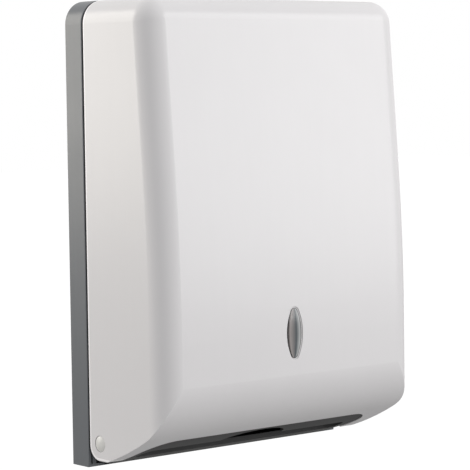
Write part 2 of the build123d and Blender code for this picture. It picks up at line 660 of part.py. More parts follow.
def hinge_pin():
    """Right hinge pin: raised head in the cover's dish, shank through cover, washer and lug, clip groove."""
    head_x = HALF_WIDTH - PIN_RECESS_DEPTH
    wall_x = head_x + PIN_HEAD_WALL
    tip_x = wall_x + PIN_HEAD_DOME
    dome_r = (PIN_HEAD_R ** 2 + PIN_HEAD_DOME ** 2) / (2 * PIN_HEAD_DOME)
    dome_side = math.sin(math.asin(PIN_HEAD_R / dome_r) / 2) * dome_r
    dome_middle = (tip_x - dome_r + math.sqrt(dome_r ** 2 - dome_side ** 2), dome_side)
    groove_high = LUG_INNER_X - CLIP_OFFSET
    groove_low = groove_high - CLIP_T
    end_x = groove_low - PIN_END
    groove_r = PIN_R - CLIP_GROOVE_DEPTH
    outline = Polyline(
        (tip_x, 0),
        (end_x, 0),
        (end_x, PIN_R - PIN_END_CHAMFER),
        (end_x + PIN_END_CHAMFER, PIN_R),
        (groove_low, PIN_R),
        (groove_low, groove_r),
        (groove_high, groove_r),
        (groove_high, PIN_R),
        (head_x, PIN_R),
        (head_x, PIN_HEAD_R),
        (wall_x, PIN_HEAD_R),
    )
    dome = ThreePointArc((wall_x, PIN_HEAD_R), dome_middle, (tip_x, 0))
    across = Plane(origin=(0, PIN_Y, PIN_Z), x_dir=(1, 0, 0), z_dir=(0, -1, 0))
    half_section = across * make_face(Wire([*outline.edges(), dome]))
    return revolve(half_section, Axis((0, PIN_Y, PIN_Z), (1, 0, 0)))


def hinge_clip():
    """Right E-clip in the pin's groove."""
    outer_x = LUG_INNER_X - CLIP_OFFSET - CLIP_CLEARANCE
    inner_x = LUG_INNER_X - CLIP_OFFSET - CLIP_T + CLIP_CLEARANCE
    hold_r = PIN_R - CLIP_GROOVE_DEPTH + CLIP_CLEARANCE
    ring = rod("x", CLIP_R, inner_x, outer_x, PIN_Y, PIN_Z)
    ring -= rod("x", hold_r, inner_x - NEAR, outer_x + NEAR, PIN_Y, PIN_Z)
    mouth_y = (PIN_Y - CLIP_MOUTH_HALF_WIDTH, PIN_Y + CLIP_MOUTH_HALF_WIDTH)
    return ring - block((inner_x - NEAR, outer_x + NEAR), mouth_y, (PIN_Z - PAST, PIN_Z))


# ---- the lock -----------------------------------------------------------------------------------
def lock_housing():
    """Flanged lock body through the cover's top."""
    flange = rod("z", LOCK_FLANGE_R, LOCK_FLOOR_Z, LOCK_FLOOR_Z + LOCK_FLANGE_T, 0, -LOCK_DEPTH)
    body = rod("z", LOCK_BODY_R, LOCK_BODY_Z, LOCK_FLOOR_Z, 0, -LOCK_DEPTH)
    body += fillet(flange.edges().group_by(Axis.Z)[-1], LOCK_FLANGE_EDGE_R)
    body -= rod("z", PLUG_R + PLUG_CLEARANCE, LOCK_BODY_Z, TOP, 0, -LOCK_DEPTH)
    head_low = LOCK_FLOOR_Z + LOCK_FLANGE_T - PLUG_HEAD_T - PLUG_CLEARANCE
    return body - rod("z", PLUG_HEAD_R + PLUG_CLEARANCE, head_low, TOP, 0, -LOCK_DEPTH)


def lock_washer():
    """Flat washer between the cover's boss and the lock nut."""
    ring = rod("z", LOCK_WASHER_R, LOCK_BOSS_Z - LOCK_WASHER_T, LOCK_BOSS_Z, 0, -LOCK_DEPTH)
    return ring - rod("z", LOCK_BODY_R + LOCK_HOLE_CLEARANCE, LOCK_BODY_Z, TOP, 0, -LOCK_DEPTH)


def lock_nut():
    """Hexagon nut on the lock body."""
    high = LOCK_BOSS_Z - LOCK_WASHER_T
    across_corners = LOCK_NUT_AF / math.sqrt(3)
    nut = Pos(0, -LOCK_DEPTH, high - LOCK_NUT_T) * extrude(RegularPolygon(across_corners, 6), LOCK_NUT_T)
    nut = chamfer(nut.edges().group_by(Axis.Z)[0], LOCK_NUT_CHAMFER)
    return nut - rod("z", LOCK_BODY_R + PILOT_CLEARANCE, LOCK_BODY_Z, TOP, 0, -LOCK_DEPTH)


def lock_plug():
    """Turning plug with its key slot, square tail and screw hole."""
    top_z = LOCK_FLOOR_Z + LOCK_FLANGE_T
    plug = rod("z", PLUG_R, CAM_TOP_Z, top_z, 0, -LOCK_DEPTH)
    plug += rod("z", PLUG_HEAD_R, top_z - PLUG_HEAD_T, top_z, 0, -LOCK_DEPTH)
    half = PLUG_TAIL / 2
    tail_z = (CAM_LOW_Z + PLUG_CLEARANCE, CAM_TOP_Z)
    plug += block((-half, half), (-LOCK_DEPTH - half, -LOCK_DEPTH + half), tail_z)
    key_x = (-KEY_SLOT_W / 2, KEY_SLOT_W / 2)
    key_y = (-LOCK_DEPTH - KEY_SLOT_L / 2, -LOCK_DEPTH + KEY_SLOT_L / 2)
    plug -= block(key_x, key_y, (top_z - KEY_SLOT_DEPTH, TOP))
    hole_top = CAM_LOW_Z + CAM_SCREW_LENGTH
    return plug - rod("z", CAM_SCREW_R + PILOT_CLEARANCE, CAM_LOW_Z, hole_top, 0, -LOCK_DEPTH)


def lock_cam():
    """Flat cam, at rest pointing to the wall so that the cover is free to open."""
    tip_y = -LOCK_DEPTH + CAM_REACH
    hub = rod("z", CAM_HUB_R, CAM_LOW_Z, CAM_TOP_Z, 0, -LOCK_DEPTH)
    arm = block((-CAM_W / 2, CAM_W / 2), (-LOCK_DEPTH, tip_y), (CAM_LOW_Z, CAM_TOP_Z))
    arm = fillet(arm.edges().filter_by(Axis.Z).group_by(Axis.Y)[-1], CAM_TIP_R)
    half = PLUG_TAIL / 2 + PLUG_CLEARANCE
    square = block((-half, half), (-LOCK_DEPTH - half, -LOCK_DEPTH + half), (CAM_LOW_Z, CAM_TOP_Z))
    return hub + arm - square


def lock_cam_screw():
    """Screw that holds the cam on the plug's tail."""
    screw = tapping_screw(CAM_SCREW_LENGTH, CAM_SCREW_R, CAM_SCREW_HEAD_R, CAM_SCREW_HEAD_T)
    return Pos(0, -LOCK_DEPTH, CAM_LOW_Z) * Rot(180, 0, 0) * screw


# ---- write every piece --------------------------------------------------------------------------
def all_pieces():
    """Node names and their shapes."""
    guide_places = [(side * x, z) for x, z in guide_screw_places() for side in (-1, 1)]
    window_screw = Rot(-90, 0, 0) * tapping_screw(FRAME_T + COVER_WALL - PILOT_CLEARANCE)
    window_screws = [Pos(0, LENS_BACK_Y + FRAME_T, z) * window_screw for z in FRAME_SCREW_ZS]
    right_sided = {
        "towel_guide": towel_guide(),
        "hinge_washer": hinge_washer(),
        "hinge_pin": hinge_pin(),
        "hinge_clip": hinge_clip(),
    }
    pieces = {
        "back_tray": back_tray(),
        "throat_plate": throat_plate(),
        "throat_screws": screws_from_front(throat_screw_places(), BOSS_FACE_Y - PLATE_T),
        "guide_screws": screws_from_front(guide_places, BOSS_FACE_Y - GUIDE_T),
        "lock_catch": lock_catch(),
        "catch_screws": screws_from_front(catch_screw_places(), CATCH_FACE_Y - CATCH_T),
        "front_cover": front_cover(),
        "window_lens": window_lens(),
        "window_frame": window_frame(),
        "window_screws": group(window_screws),
        "lock_housing": lock_housing(),
        "lock_washer": lock_washer(),
        "lock_nut": lock_nut(),
        "lock_plug": lock_plug(),
        "lock_cam": lock_cam(),
        "lock_cam_screw": lock_cam_screw(),
    }
    for name, piece in right_sided.items():
        pieces[name + "_right"] = piece
        pieces[name + "_left"] = mirrored(piece)
    return pieces


os.makedirs("parts", exist_ok=True)
for node, shape in all_pieces().items():
    export_step(shape, f"parts/{node}.step")
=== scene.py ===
"""Finishes, fine detail and studio for a wall-mounted dispenser of folded paper towels.

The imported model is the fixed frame: X runs across, -Y points away from the wall, +Z is up, in metres.
Each sub-assembly is a class with its own sizes.  It builds the pieces that need finer meshes than the
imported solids, and dresses the solids that stay.
"""

import logging
import math
from collections.abc import Mapping
from dataclasses import dataclass
from enum import Enum

import bmesh
import bpy
from mathutils import Matrix, Vector


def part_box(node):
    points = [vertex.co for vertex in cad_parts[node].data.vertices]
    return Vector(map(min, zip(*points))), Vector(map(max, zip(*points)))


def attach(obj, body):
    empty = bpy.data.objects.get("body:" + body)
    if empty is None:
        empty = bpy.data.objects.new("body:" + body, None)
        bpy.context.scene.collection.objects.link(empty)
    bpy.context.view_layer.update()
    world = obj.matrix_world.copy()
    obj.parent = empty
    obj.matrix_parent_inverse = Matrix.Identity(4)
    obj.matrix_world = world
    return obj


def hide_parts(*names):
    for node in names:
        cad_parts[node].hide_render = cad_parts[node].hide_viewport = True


Tree = bpy.types.NodeTree
Socket = bpy.types.NodeSocket

MM = 0.001
MERGE_DISTANCE = 0.001 * MM
CREASE_ANGLE = math.radians(35.0)
LOG = logging.getLogger("towel_dispenser")

# Half sizes of the sight lens's face in millimetres, for its shape and for its painted light and shade.
LENS_HALF_WIDTH = 8.05
LENS_HALF_HEIGHT = 21.35
# The cover's heel, its rounded lower corner beside the wall, and how far inside the cover's edge the middle
# of the parting line's painted highlight runs, in millimetres.
HEEL_RADIUS = 12.9
PARTING_INSET = 1.6

# Most values of a noise texture lie between these two.
NOISE_LOW, NOISE_HIGH = 0.3, 0.7
# Shares of the open half-space that a point sees: painted shade is deepest at the first, none at the second.
SHELTERED, OPEN = 0.35, 0.85
# Cosine between the rounded and the true normal at which an edge gets the full painted highlight.
FULL_HIGHLIGHT_COSINE = 0.9
# Rays that round an edge, and rays that find how sheltered a point is.
EDGE_RAYS, SHELTER_RAYS = 6, 8
# A Mix node's sockets by number when it mixes colours: both inputs and the output.
MIX_FIRST, MIX_SECOND, MIX_RESULT = 6, 7, 2

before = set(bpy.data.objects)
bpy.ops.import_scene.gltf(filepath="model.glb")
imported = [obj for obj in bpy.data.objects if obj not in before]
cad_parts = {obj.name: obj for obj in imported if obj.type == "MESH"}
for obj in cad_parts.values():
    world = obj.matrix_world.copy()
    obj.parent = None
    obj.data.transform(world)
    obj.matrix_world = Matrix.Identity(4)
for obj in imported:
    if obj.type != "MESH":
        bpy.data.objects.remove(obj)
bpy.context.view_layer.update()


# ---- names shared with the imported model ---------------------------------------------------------
class Body(Enum):
    """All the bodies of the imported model; each moves as one."""

    WALL_UNIT = "wall_unit"
    COVER = "cover"
    LOCK_ROTOR = "lock_rotor"


class Side(Enum):
    """Sides of the dispenser, with the way that each looks along X."""

    LEFT = -1
    RIGHT = 1


class Slot(Enum):
    """All the material slots of the record."""

    COVER = "cover_white"
    TRAY = "tray_grey"
    PIN = "pin_white"
    NYLON = "nylon_natural"
    LENS = "lens_smoke"
    ZINC = "steel_zinc"
    CHROME = "lock_chrome"


# ---- node and colour helpers --------------------------------------------------------------------
def linear(colour: str) -> tuple[float, float, float, float]:
    """Turn an sRGB hex colour into Blender's linear RGBA.

    Args:
        colour: The colour as "#RRGGBB".

    Returns:
        Linear red, green, blue and an alpha of one.
    """
    channels = [int(colour[start:start + 2], 16) / 255 for start in (1, 3, 5)]
    toe, offset, slope, power = 0.04045, 0.055, 12.92, 2.4
    red, green, blue = (
        value / slope if value <= toe else ((value + offset) / (1 + offset)) ** power for value in channels
    )
    return red, green, blue, 1.0


def grey(level: float) -> tuple[float, float, float, float]:
    """Linear RGBA with one level in all three colours."""
    return level, level, level, 1.0


def add_node(
    tree: Tree,
    kind: str,
    settings: Mapping[str | int, object] | None = None,
    links: Mapping[str | int, Socket] | None = None,
) -> bpy.types.Node:
    """Add one node with its settings and incoming links.

    Args:
        tree: The node tree that gets the node.
        kind: Blender's identifier of the node type.
        settings: Values by property name, or by input name or number where there is no such property.
        links: Output sockets to link, by input name or number.

    Returns:
        The new node.
    """
    node = tree.nodes.new(kind)
    properties = {key: value for key, value in (settings or {}).items() if hasattr(node, str(key))}
    for key, value in properties.items():
        setattr(node, key, value)
    for key, value in (settings or {}).items():
        if key not in properties:
            node.inputs[key].default_value = value
    for key, socket in (links or {}).items():
        tree.links.new(socket, node.inputs[key])
    return node


def new_material(name: str) -> tuple[bpy.types.Material, Tree]:
    """Make an empty node material.

    Args:
        name: The material's name.

    Returns:
        The material and its node tree.
    """
    material = bpy.data.materials.new(name)
    material.use_nodes = True
    material.node_tree.nodes.clear()
    return material, material.node_tree


def millimetres(tree: Tree) -> Socket:
    """Give a piece's own coordinates in millimetres, so that pattern scales are real sizes.

    Args:
        tree: The material's node tree.

    Returns:
        The coordinates.
    """
    place = add_node(tree, "ShaderNodeTexCoord")
    scaled = add_node(
        tree, "ShaderNodeVectorMath", {"operation": "SCALE", "Scale": 1 / MM}, {0: place.outputs["Object"]}
    )
    return scaled.outputs["Vector"]


def patches(
    tree: Tree, place: Socket, size: float, detail: float, middle: float, swing: float, clamp: bool = False
) -> Socket:
    """Let a value drift about its middle in soft patches.

    Args:
        tree: The material's node tree.
        place: Coordinates in millimetres.
        size: The patches' size in millimetres.
        detail: How many finer layers the patches have.
        middle: The value's middle.
        swing: How far the value usually strays from its middle.
        clamp: Whether rare values that stray further are held back.

    Returns:
        The drifting value.
    """
    noise = add_node(tree, "ShaderNodeTexNoise", {"Scale": 1 / size, "Detail": detail}, {"Vector": place})
    value = add_node(
        tree,
        "ShaderNodeMapRange",
        {
            "clamp": clamp,
            "From Min": NOISE_LOW,
            "From Max": NOISE_HIGH,
            "To Min": middle - swing,
            "To Max": middle + swing,
        },
        {"Value": noise.outputs["Fac"]},
    )
    return value.outputs["Result"]


# ---- finishes -----------------------------------------------------------------------------------
@dataclass(frozen=True)
class MouldedPlastic:
    """Injection-moulded plastic: even colour with a slow drift, tool texture and softened edges.

    Sizes are in millimetres; drift, streak, the painted edge highlight and the painted shade in joints and
    recesses are shares of the colour.  A patch of gloss is gloss_ripples ripples wide, and a streak's width
    is streak_squeeze times its length.  The parting line, which also gets the painted highlight, runs
    upright at parting_reach from the middle of the heel, whose Y and Z are parting_heel, and then round it.
    """

    name: str
    colour: str
    roughness: float
    ior: float
    grain: float
    grain_depth: float
    ripple: float
    ripple_depth: float
    drift: float
    streak: float
    edge_radius: float
    edge_highlight: float
    painted_shade: float
    painted_shade_reach: float
    specular: float = 0.5
    sheen_spread: float = 0.02
    gloss_ripples: float = 3.0
    drift_size: float = 55.0
    streak_width: float = 7.0
    streak_squeeze: float = 0.03
    scatter: float = 0.0
    scatter_depth: float = 1.5
    parting_heel: tuple[float, float] = (0.0, 0.0)
    parting_reach: float = 0.0
    parting_width: float = 0.0

    def material(self) -> bpy.types.Material:
        """Build the finish as a node material.

        Returns:
            The material.
        """
        material, tree = new_material(self.name)
        place = millimetres(tree)
        rounded = add_node(tree, "ShaderNodeBevel", {"samples": EDGE_RAYS, "Radius": self.edge_radius * MM})
        normal = rounded.outputs["Normal"]
        # Painted highlight: the colour is brightened on the edges and along the parting line.
        highlighted = add_node(
            tree,
            "ShaderNodeMix",
            {"data_type": "RGBA", "blend_type": "MULTIPLY", MIX_SECOND: grey(1 + self.edge_highlight)},
            {0: self._edge_highlight_mask(tree, place, normal), MIX_FIRST: self._colour(tree, place)},
        )
        # Painted shade: the colour is darkened where the surface is sheltered.
        shaded = add_node(
            tree,
            "ShaderNodeVectorMath",
            {"operation": "SCALE"},
            {0: highlighted.outputs[MIX_RESULT], "Scale": self._painted_shade_share(tree)},
        )
        roughness = patches(
            tree, place, size=self.gloss_ripples * self.ripple, detail=2.0,
            middle=self.roughness, swing=self.sheen_spread,
        )
        surface = add_node(
            tree,
            "ShaderNodeBsdfPrincipled",
            {
                "IOR": self.ior,
                "Specular IOR Level": self.specular,
                "Subsurface Weight": self.scatter,
                "Subsurface Radius": (1.0, 1.0, 1.0),
                "Subsurface Scale": self.scatter_depth * MM,
            },
            {
                "Base Color": shaded.outputs["Vector"],
                "Roughness": roughness,
                "Normal": self._relief(tree, place, normal),
            },
        )
        add_node(tree, "ShaderNodeOutputMaterial", None, {"Surface": surface.outputs["BSDF"]})
        return material

    def _colour(self, tree: Tree, place: Socket) -> Socket:
        """Colour with the cloudy drift of the batch and faint upright flow streaks.

        Args:
            tree: The material's node tree.
            place: Coordinates in millimetres.

        Returns:
            The colour.
        """
        drift = patches(tree, place, size=self.drift_size, detail=3.0, middle=1.0, swing=self.drift)
        upright = add_node(
            tree, "ShaderNodeMapping", {"Scale": (1.0, 1.0, self.streak_squeeze)}, {"Vector": place}
        )
        streak = patches(
            tree, upright.outputs["Vector"], size=self.streak_width, detail=2.0,
            middle=1.0, swing=self.streak,
        )
        drifted = add_node(
            tree,
            "ShaderNodeVectorMath",
            {"operation": "SCALE", 0: linear(self.colour)[:3]},
            {"Scale": drift},
        )
        streaked = add_node(
            tree,
            "ShaderNodeVectorMath",
            {"operation": "SCALE"},
            {0: drifted.outputs["Vector"], "Scale": streak},
        )
        return streaked.outputs["Vector"]

    def _painted_shade_share(self, tree: Tree) -> Socket:
        """Paint shade on the colour where the surface is sheltered, in joints and recesses.

        Args:
            tree: The material's node tree.

        Returns:
            The share of the colour that is left.
        """
        shelter = add_node(
            tree, "ShaderNodeAmbientOcclusion", {"samples": SHELTER_RAYS, "Distance": self.painted_shade_reach * MM}
        )
        left = add_node(
            tree,
            "ShaderNodeMapRange",
            {"From Min": SHELTERED, "From Max": OPEN, "To Min": 1 - self.painted_shade, "To Max": 1.0},
            {"Value": shelter.outputs["AO"]},
        )
        return left.outputs["Result"]

    def _edge_highlight_mask(self, tree: Tree, place: Socket, rounded: Socket) -> Socket:
        """Find where the edges and the parting line get a painted highlight.

        Args:
            tree: The material's node tree.
            place: Coordinates in millimetres.
            rounded: The normal with rounded edges.

        Returns:
            One on the outer edges and the parting line, zero elsewhere.
        """
        true_normal = add_node(tree, "ShaderNodeNewGeometry").outputs["Normal"]
        cosine = add_node(
            tree, "ShaderNodeVectorMath", {"operation": "DOT_PRODUCT"}, {0: rounded, 1: true_normal}
        )
        edge = add_node(
            tree,
            "ShaderNodeMapRange",
            {"From Min": 1.0, "From Max": FULL_HIGHLIGHT_COSINE},
            {"Value": cosine.outputs["Value"]},
        )
        if self.parting_width == 0:
            return edge.outputs["Result"]
        either = add_node(
            tree,
            "ShaderNodeMath",
            {"operation": "MAXIMUM"},
            {0: edge.outputs["Result"], 1: self._parting(tree, place)},
        )
        return either.outputs["Value"]

    def _parting(self, tree: Tree, place: Socket) -> Socket:
        """Find the parting line, upright above the heel's middle and round the heel below it.

        Args:
            tree: The material's node tree.
            place: Coordinates in millimetres.

        Returns:
            One on the line, zero elsewhere.
        """
        towards_wall_and_down = (0.0, 1.0, -1.0)
        from_heel = add_node(
            tree,
            "ShaderNodeVectorMath",
            {"operation": "SUBTRACT", 1: (0.0, *self.parting_heel)},
            {0: place},
        )
        signed = add_node(
            tree,
            "ShaderNodeVectorMath",
            {"operation": "MULTIPLY", 1: towards_wall_and_down},
            {0: from_heel.outputs["Vector"]},
        )
        outward = add_node(
            tree,
            "ShaderNodeVectorMath",
            {"operation": "MAXIMUM", 1: (0.0, 0.0, 0.0)},
            {0: signed.outputs["Vector"]},
        )
        reach = add_node(
            tree, "ShaderNodeVectorMath", {"operation": "LENGTH"}, {0: outward.outputs["Vector"]}
        )
        line = add_node(
            tree,
            "ShaderNodeMath",
            {"operation": "COMPARE", 1: self.parting_reach, 2: self.parting_width / 2},
            {0: reach.outputs["Value"]},
        )
        return line.outputs["Value"]

    def _relief(self, tree: Tree, place: Socket, rounded: Socket) -> Socket:
        """Lay the tool texture over the slow waves of the shrinking wall.

        Args:
            tree: The material's node tree.
            place: Coordinates in millimetres.
            rounded: The normal with rounded edges.

        Returns:
            The normal of the textured surface.
        """
        heights = []
        for size, depth, detail in (
            (self.grain, self.grain_depth, 3.0),
            (self.ripple, self.ripple_depth, 1.0),
        ):
            noise = add_node(
                tree, "ShaderNodeTexNoise", {"Scale": 1 / size, "Detail": detail}, {"Vector": place}
            )
            height = add_node(
                tree, "ShaderNodeMath", {"operation": "MULTIPLY", 1: depth}, {0: noise.outputs["Fac"]}
            )
            heights.append(height.outputs["Value"])
        total = add_node(tree, "ShaderNodeMath", {"operation": "ADD"}, dict(enumerate(heights)))
        bump = add_node(
            tree,
            "ShaderNodeBump",
            {"Strength": 1.0, "Distance": MM},
            {"Height": total.outputs["Value"], "Normal": rounded},
        )
        return bump.outputs["Normal"]


@dataclass(frozen=True)
class PlatedMetal:
    """Plated metal: mirror-like base with the crystal spangle and fine scuffs of the plating.

    Sizes are in millimetres; spangle_light is a share of the colour.
    """

    name: str
    colour: str
    roughness: float
    roughness_spread: float
    scuff: float
    spangle: float
    spangle_light: float
    ripple: float
    ripple_depth: float
    edge_radius: float

    def material(self) -> bpy.types.Material:
        """Build the finish as a node material.

        Returns:
            The material.
        """
        material, tree = new_material(self.name)
        place = millimetres(tree)
        crystals = add_node(tree, "ShaderNodeTexVoronoi", {"Scale": 1 / self.spangle}, {"Vector": place})
        tone = add_node(tree, "ShaderNodeSeparateColor", None, {"Color": crystals.outputs["Color"]})
        light = add_node(
            tree,
            "ShaderNodeMapRange",
            {"To Min": 1 - self.spangle_light, "To Max": 1 + self.spangle_light},
            {"Value": tone.outputs["Red"]},
        )
        colour = add_node(
            tree,
            "ShaderNodeVectorMath",
            {"operation": "SCALE", 0: linear(self.colour)[:3]},
            {"Scale": light.outputs["Result"]},
        )
        roughness = patches(
            tree, place, size=self.scuff, detail=4.0,
            middle=self.roughness, swing=self.roughness_spread, clamp=True,
        )
        rounded = add_node(tree, "ShaderNodeBevel", {"samples": EDGE_RAYS, "Radius": self.edge_radius * MM})
        ripple = add_node(
            tree, "ShaderNodeTexNoise", {"Scale": 1 / self.ripple, "Detail": 3.0}, {"Vector": place}
        )
        bump = add_node(
            tree,
            "ShaderNodeBump",
            {"Strength": 1.0, "Distance": self.ripple_depth * MM},
            {"Height": ripple.outputs["Fac"], "Normal": rounded.outputs["Normal"]},
        )
        surface = add_node(
            tree,
            "ShaderNodeBsdfPrincipled",
            {"Metallic": 1.0},
            {
                "Base Color": colour.outputs["Vector"],
                "Roughness": roughness,
                "Normal": bump.outputs["Normal"],
            },
        )
        add_node(tree, "ShaderNodeOutputMaterial", None, {"Surface": surface.outputs["BSDF"]})
        return material


@dataclass(frozen=True)
class SmokeClear:
    """Smoke-tinted clear plastic: partly see-through, partly hazy, with a polished face.

    Sizes are in millimetres; haze_light is a share of the colour.  The painted light and shade follow a
    window that is (1 + tip_share - height squared) to the power of taper wide, as a share of its middle,
    where height runs from -1 at the lower tip to 1 at the upper one.
    """

    name: str
    clearness: float
    roughness: float
    ior: float
    ripple: float
    ripple_depth: float
    half_width: float
    half_height: float
    middle: float
    painted_tones: tuple[tuple[float, str], ...]
    tip_share: float = 0.03
    taper: float = 0.6
    haze_size: float = 9.0
    haze_light: float = 0.08

    def material(self) -> bpy.types.Material:
        """Build the finish as a node material.

        Returns:
            The material.
        """
        material, tree = new_material(self.name)
        place = millimetres(tree)
        haze = add_node(
            tree, "ShaderNodeTexNoise", {"Scale": 1 / self.haze_size, "Detail": 2.0}, {"Vector": place}
        )
        light = add_node(
            tree,
            "ShaderNodeMapRange",
            {"To Min": 1 - self.haze_light, "To Max": 1 + self.haze_light},
            {"Value": haze.outputs["Fac"]},
        )
        # Painted light and shade across the lens, varied by a random haze.
        colour = add_node(
            tree,
            "ShaderNodeVectorMath",
            {"operation": "SCALE"},
            {0: self._painted_shading(tree, place), "Scale": light.outputs["Result"]},
        )
        ripple = add_node(
            tree, "ShaderNodeTexNoise", {"Scale": 1 / self.ripple, "Detail": 1.0}, {"Vector": place}
        )
        bump = add_node(
            tree,
            "ShaderNodeBump",
            {"Strength": 1.0, "Distance": self.ripple_depth * MM},
            {"Height": ripple.outputs["Fac"]},
        )
        surface = add_node(
            tree,
            "ShaderNodeBsdfPrincipled",
            {"IOR": self.ior, "Transmission Weight": self.clearness, "Roughness": self.roughness},
            {"Base Color": colour.outputs["Vector"], "Normal": bump.outputs["Normal"]},
        )
        add_node(tree, "ShaderNodeOutputMaterial", None, {"Surface": surface.outputs["BSDF"]})
        return material

    def _painted_shading(self, tree: Tree, place: Socket) -> Socket:
        """Paint light and shade from the left rim to the right one, narrower towards the tips.

        Args:
            tree: The material's node tree.
            place: Coordinates in millimetres.

        Returns:
            The dye's colour.
        """
        across = add_node(tree, "ShaderNodeSeparateXYZ", None, {"Vector": place})
        height = add_node(
            tree,
            "ShaderNodeMapRange",
            {
                "clamp": False,
                "From Min": self.middle - self.half_height,
                "From Max": self.middle + self.half_height,
                "To Min": -1.0,
            },
            {"Value": across.outputs["Z"]},
        )
        square = add_node(
            tree,
            "ShaderNodeMath",
            {"operation": "MULTIPLY"},
            {0: height.outputs["Result"], 1: height.outputs["Result"]},
        )
        narrowing = add_node(
            tree,
            "ShaderNodeMath",
            {"operation": "SUBTRACT", 0: 1 + self.tip_share},
            {1: square.outputs["Value"]},
        )
        width_there = add_node(
            tree, "ShaderNodeMath", {"operation": "POWER", 1: self.taper}, {0: narrowing.outputs["Value"]}
        )
        from_middle = add_node(
            tree,
            "ShaderNodeMath",
            {"operation": "DIVIDE"},
            {0: across.outputs["X"], 1: width_there.outputs["Value"]},
        )
        share = add_node(
            tree,
            "ShaderNodeMapRange",
            {"From Min": -self.half_width, "From Max": self.half_width},
            {"Value": from_middle.outputs["Value"]},
        )
        ramp = add_node(tree, "ShaderNodeValToRGB", None, {"Fac": share.outputs["Result"]})
        stops = ramp.color_ramp.elements
        for position, tone in self.painted_tones[1:-1]:
            stops.new(position).color = linear(tone)
        for stop, (position, tone) in ((stops[0], self.painted_tones[0]), (stops[-1], self.painted_tones[-1])):
            stop.position = position
            stop.color = linear(tone)
        return ramp.outputs["Color"]


@dataclass(frozen=True)
class Finishes:
    """The dispenser's finishes, each built once."""

    cover: bpy.types.Material
    tray: bpy.types.Material
    throat: bpy.types.Material
    pin: bpy.types.Material
    nylon: bpy.types.Material
    lens: bpy.types.Material
    zinc: bpy.types.Material
    chrome: bpy.types.Material


